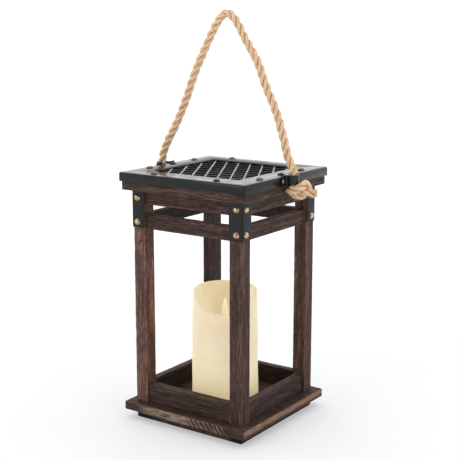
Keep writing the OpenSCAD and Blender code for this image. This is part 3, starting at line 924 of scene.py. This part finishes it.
def make_lattice(materials):
    """Expanded metal: two families of strands that cross, one painted bright and one painted dark,
    as painted light and shade on one metal.
    """
    low, high = box_of("vent_mesh")
    side = high[0] - 0.4
    z = (low[2] + high[2]) / 2
    slope = DIAMOND_WIDE / DIAMOND_TALL
    for way, kind in ((-1, "lit_lattice"), (1, "lattice")):
        parts = []
        for k in range(-7, 8):
            x0 = k * DIAMOND_WIDE + LATTICE_SHIFT
            ends = sorted((e - x0) / slope * way for e in (-side, side))
            start, stop = max(-side, ends[0]), min(side, ends[1])
            if stop - start >= 3:
                parts.append(strand(x0, start, stop, z, way))
        points, faces = joined(parts)
        strands = new_object(f"vent_{kind}", points, faces, materials[kind], 50)
        stand_for(strands, "mesh_metal", "lantern", "vent_mesh")


def dome_profile(radius, height, shank_r, shank):
    """A domed head on a shank, from the shank's end up to the top."""
    ball = (radius * radius + height * height) / (2 * height)
    widest = math.asin(min(1.0, radius / ball))
    profile = [(0, -shank), (shank_r, -shank), (shank_r, -0.01), (radius * 0.9, 0),
               (radius, 0.18)]
    for k in range(1, 7):
        a = widest * (1 - k / 7)
        profile.append((ball * math.sin(a), height - ball * (1 - math.cos(a)) + 0.02))
    profile.append((0, height + 0.02))
    return profile


def studs(name, node, places, size, material, slot):
    """A group of domed heads, each at a place and facing out."""
    radius, height, shank_r, shank = size
    shape, faces = lathe(dome_profile(radius, height, shank_r, shank), 20)
    parts = []
    for at, out in places:
        seed = Vector(at) * 0.7
        bumpy = []
        for p in shape:
            dent = 1 + 0.035 * noise.noise(Vector(p) * 0.9 + seed) if p[2] > 0.3 else 1
            bumpy.append(p * dent)
        parts.append((aimed(bumpy, out, at), faces))
    points, faces = joined(parts)
    thing = new_object(name, points, faces, material, 50)
    stand_for(thing, slot, "lantern", node)


def make_fasteners(materials):
    cap_top = box_of("cap")[1][2]
    face, _, foot = box_of("bracket_front_left")[0]
    rivets, screws, tacks, small = [], [], [], []
    for i in range(4):
        for x in (-CAP_RIVET_ALONG, CAP_RIVET_ALONG):
            rivets.append((turned([(x, -CAP_FIXING_OUT, cap_top)], i)[0], (0, 0, 1)))
        for z in (foot + TACK_HEIGHTS[0], foot + TACK_HEIGHTS[1]):
            for at, out in (((-TACK_OUT, face, z), (0, -1, 0)), ((face, -TACK_OUT, z), (-1, 0, 0))):
                tacks.append((turned([at], i)[0], turned([out], i)[0]))
    for i in (1, 3):
        screws.append((turned([(0, -CAP_FIXING_OUT, cap_top)], i)[0], (0, 0, 1)))
    strap = box_of("rope_strap_right")
    for i in (0, 2):
        for y in (-STRAP_RIVET_ALONG, STRAP_RIVET_ALONG):
            at = (strap[0][0] + SHEET, y, (strap[0][2] + strap[1][2]) / 2)
            small.append((turned([at], i)[0], turned([(1, 0, 0)], i)[0]))
    studs("cap_rivet_domes", "cap_rivets", rivets, CAP_STUD, materials["bronze"], "aged_brass")
    studs("cap_screw_domes", "cap_screws", screws, CAP_STUD, materials["black_steel"],
          "black_steel")
    studs("bracket_tack_domes", "bracket_tacks", tacks, TACK, materials["brass"], "aged_brass")
    studs("strap_rivet_domes", "strap_rivets", small, STRAP_RIVET, materials["strap_steel"],
          "black_steel")


# ---- Candle ----

def candle_top(r, angle):
    """Height of the wax above its foot: a melted bowl in a rounded lip that dips in front."""
    inner = min(r, CANDLE_R - LIP)
    crest = CANDLE_H - CANDLE_DIP * max(0.0, math.cos(angle)) ** 1.25
    bowl = BOWL_Z + (crest - BOWL_Z) * (inner / (CANDLE_R - LIP)) ** 2.6
    return bowl - LIP + math.sqrt(max(0.0, LIP ** 2 - (r - inner) ** 2))


def candle_column(angle, wall, inward):
    """The wax at one angle, up the outside, over the lip and down the wick hole.

    Each place is a radius, a height and how far the wax has melted.
    """
    top = candle_top(CANDLE_R, angle)
    column = [(CANDLE_R - (1.4 if t == 0 else 0.5 if t < 0.01 else 0), t * top, 0.0)
              for t in wall]
    for r in inward:
        z = candle_top(r, angle)
        below_rim = (CANDLE_H - z) / CANDLE_DIP
        inside = min(1.0, max(0.0, (CANDLE_R - LIP + 1.0 - r) / 2))
        column.append((r, z, min(1.0, max(0.25, below_rim)) * inside))
    return column + [(WICK_R, CAVITY[1], 1.0), (CAVITY[0], CAVITY[1], 0.0),
                     (CAVITY[0], 0.0, 0.0)]


def make_candle(materials):
    foot = box_of("candle_wax")[0][2]
    segments = 144
    wall = [0.0, 0.004, 0.012] + list(np.linspace(0.03, 1, 26))
    inward = [CANDLE_R - LIP * (1 - math.cos(math.radians(a))) for a in range(12, 91, 13)]
    inward += list(np.linspace(CANDLE_R - LIP - 0.8, WICK_R + 0.4, 34)) + [WICK_R]
    points, melts = [], []
    for k in range(segments):
        angle = 2 * math.pi * k / segments
        for r, z, melt in candle_column(angle, wall, inward):
            spot = Vector((r * math.cos(angle), r * math.sin(angle), z))
            r += (noise.noise(spot * 0.035) * 0.35 if r > WICK_R and z > 2 and melt < 1 else 0)
            r *= 1.018 - 0.042 * z / CANDLE_H if r > WICK_R else 1
            a = angle + CANDLE_TURN
            points.append((r * math.sin(a), -r * math.cos(a), z + foot))
            melts.append(melt)
    faces = grid_faces(segments, len(points) // segments, True, True)
    candle = new_object("candle_pillar", points, faces, materials["wax"], 50)
    give(candle, "melt", melts)
    stand_for(candle, "ivory_wax", "candle", "candle_wax")


def make_flame(materials):
    """A milky flame-shaped shell, a little flattened and bent at the tip."""
    low, high = box_of("flame_tip")
    tall, drawn_tall = high[2] - low[2], 33.5
    outline = [(0, 0), (3.6, 0), (4.0, 0.6), (4.0, 6), (4.1, 9.5), (4.3, 13), (4.15, 17),
               (3.7, 20.5), (2.9, 24), (2.1, 27), (1.3, 30), (0.6, 32.4), (0, 33.5)]
    shape, faces = lathe([(r, z * tall / drawn_tall) for r, z in outline], 28)
    points = []
    for x, y, z in shape:
        bend = 0.9 * max(0.0, (z - 12) / 22) ** 2
        points.append((x * 0.92 + bend * 0.3, y - bend * 0.2, low[2] + z))
    flame = new_object("flame_shell", points, faces, materials["flame"], 60)
    subdivide(flame)
    stand_for(flame, "flame_clear", "candle", "flame_tip")


def subdivide(thing):
    modifier = thing.modifiers.new("smooth", "SUBSURF")
    modifier.levels = modifier.render_levels = 1


# ---- Pieces that keep their CAD shape ----

def dress_hidden_parts(materials):
    kinds = {
        "zinc": ("plinth_screws", "base_screws", "top_frame_screws", "core_screws"),
        "white": ("candle_core", "core_lid", "battery_cover", "power_switch"),
        "contact": ("cover_contact",),
        "sleeve": ("battery_a", "battery_b"),
        "spring": ("contact_springs",),
        "board": ("circuit_board",),
        "lamp": ("led",),
        "beech": ("rail_dowels",),
    }
    for kind, names in kinds.items():
        for name in names:
            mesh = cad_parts[name].data
            mesh.materials.clear()
            mesh.materials.append(materials[kind])


# ---- Room ----

def make_floor():
    """A white floor that turns into plain white light away from the lantern."""
    s = Shader("studio_floor")
    s.set(Base_Color=colour("bcbdbf"), Roughness=0.9, Specular_IOR_Level=0.1)
    far = s.add("ShaderNodeVectorMath", {0: s.place()}, operation="LENGTH").outputs["Value"]
    s.set(Emission_Color=(1, 1, 1, 1), Emission_Strength=s.between(far, 300, 1300, 0.36, 0.6))
    size = 12000
    points = [(-size, -size, 0), (size, -size, 0), (size, size, 0), (-size, size, 0)]
    floor = new_object("studio_floor", points, [(0, 1, 2, 3)], s.material)


def make_world():
    """White all round, dimmer on the camera's side."""
    world = bpy.data.worlds.new("studio")
    world.use_nodes = True
    tree = world.node_tree
    sky = tree.nodes["Background"]
    sky.inputs["Color"].default_value = (1, 1, 1, 1)
    place = tree.nodes.new("ShaderNodeTexCoord")
    front = tree.nodes.new("ShaderNodeVectorMath")
    front.operation = "DOT_PRODUCT"
    a = math.radians(CAMERA_AZIMUTH)
    front.inputs[1].default_value = (math.sin(a), -math.cos(a), 0)
    ramp = tree.nodes.new("ShaderNodeMapRange")
    for key, value in (("From Min", -0.2), ("From Max", 0.75), ("To Min", 1.45), ("To Max", 0.2)):
        ramp.inputs[key].default_value = value
    tree.links.new(place.outputs["Generated"], front.inputs[0])
    tree.links.new(front.outputs["Value"], ramp.inputs["Value"])
    tree.links.new(ramp.outputs["Result"], sky.inputs["Strength"])
    bpy.context.scene.world = world


def area_light(name, at, size, power, aim=(0, 0, 0.15)):
    data = bpy.data.lights.new(name, "AREA")
    data.size = size
    data.energy = power
    light = bpy.data.objects.new(name, data)
    light.location = at
    light.rotation_euler = (Vector(aim) - Vector(at)).to_track_quat("-Z", "Y").to_euler()
    bpy.context.scene.collection.objects.link(light)


def make_lights():
    area_light("left_key", (-0.45, -1.5, 0.6), 0.8, 7)
    area_light("right_key", (1.5, -0.3, 0.6), 0.8, 4.5)
    area_light("top", (0.1, 0.1, 1.6), 1.4, 5)
    bpy.context.scene.view_settings.view_transform = "Standard"


# ---- Everything ----

make_camera()
materials = make_materials()
rope, rope_line = make_cord(materials)
make_posts_and_rails(materials)
make_base(materials)
make_top_frame(materials)
make_cap(materials)
make_brackets(materials)
make_straps(materials)
make_lattice(materials)
make_fasteners(materials)
make_candle(materials)
make_flame(materials)
dress_hidden_parts(materials)
make_floor()
make_world()
make_lights()
